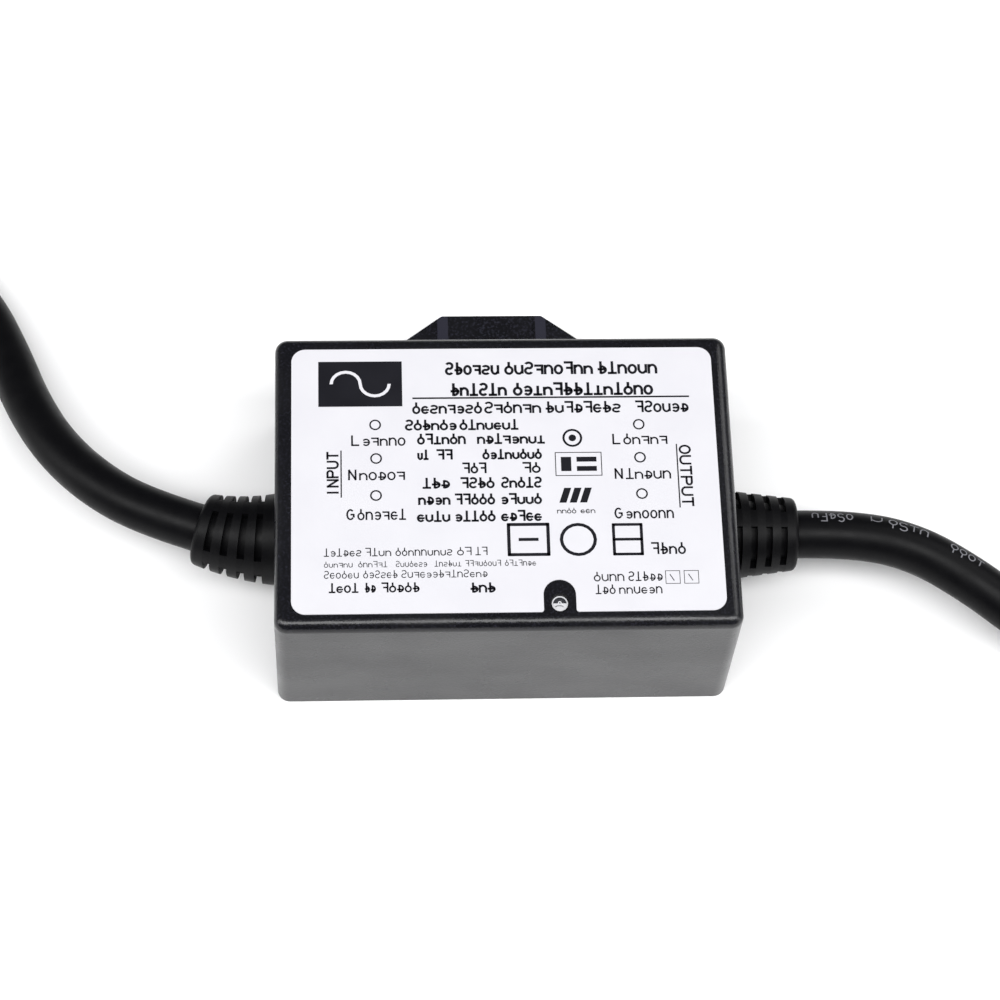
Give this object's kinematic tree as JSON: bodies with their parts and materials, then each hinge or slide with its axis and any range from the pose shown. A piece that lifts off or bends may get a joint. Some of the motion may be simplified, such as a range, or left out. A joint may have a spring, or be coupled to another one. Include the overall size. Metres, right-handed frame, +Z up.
{
  "type": "in-line surge protector",
  "caption": "Hard-wired in-line surge protector: a potted plastic box with an indicator light, a mounting lug and a multicore lead moulded into each end, with stripped tails.",
  "frame": {"origin": "centre of the case's flat underside", "axes": "X along the case from the input lead to the output lead, Y from the front face to the mounting lug, Z up out of the labelled top"},
  "size_m": [0.3916, 0.1267, 0.0365],
  "materials": {
    "case_plastic": "satin moulded, fine texture",
    "steel": "zinc plated",
    "label_film": "printed film, semi-gloss",
    "led_epoxy": "clear",
    "seal_silicone": "translucent white",
    "tinned_copper": "tinned copper",
    "relief_pvc": "satin moulded PVC",
    "cord_pvc": "matt PVC",
    "core_black": "satin PVC",
    "core_white": "satin PVC",
    "core_green": "satin PVC",
    "board_laminate": "solder mask",
    "copper": "copper",
    "solder": "bright",
    "varistor_epoxy": "coated disc",
    "fuse_metal": "drawn",
    "ceramic": "glazed ceramic",
    "resistor_body": "lacquered",
    "diode_body": "moulded epoxy",
    "potting": "cast epoxy"
  },
  "bodies": {
    "root": {"base_cover": "case_plastic", "board": "board_laminate", "board_copper": "copper", "board_screws": "steel", "case_shell": "case_plastic", "cover_screws": "steel", "gas_discharge_tube": "ceramic", "input_cord": "cord_pvc", "input_ground_core": "core_green", "input_ground_tail": "core_green", "input_jacket_end": "cord_pvc", "input_line_core": "core_black", "input_line_tail": "core_black", "input_neutral_core": "core_white", "input_neutral_tail": "core_white", "input_strain_relief": "relief_pvc", "input_tail_tips": "tinned_copper", "label": "label_film", "led_diode": "diode_body", "led_leads": "tinned_copper", "led_lens": "led_epoxy", "led_resistor": "resistor_body", "led_seal": "seal_silicone", "output_cord": "cord_pvc", "output_ground_core": "core_green", "output_ground_tail": "core_green", "output_jacket_end": "cord_pvc", "output_line_core": "core_black", "output_line_tail": "core_black", "output_neutral_core": "core_white", "output_neutral_tail": "core_white", "output_strain_relief": "relief_pvc", "output_tail_tips": "tinned_copper", "potting_compound": "potting", "solder_joints": "solder", "thermal_fuse_ground": "fuse_metal", "thermal_fuse_line": "fuse_metal", "varistor_line_ground": "varistor_epoxy", "varistor_line_neutral": "varistor_epoxy", "varistor_neutral_ground": "varistor_epoxy"}
  },
  "joints": []
}
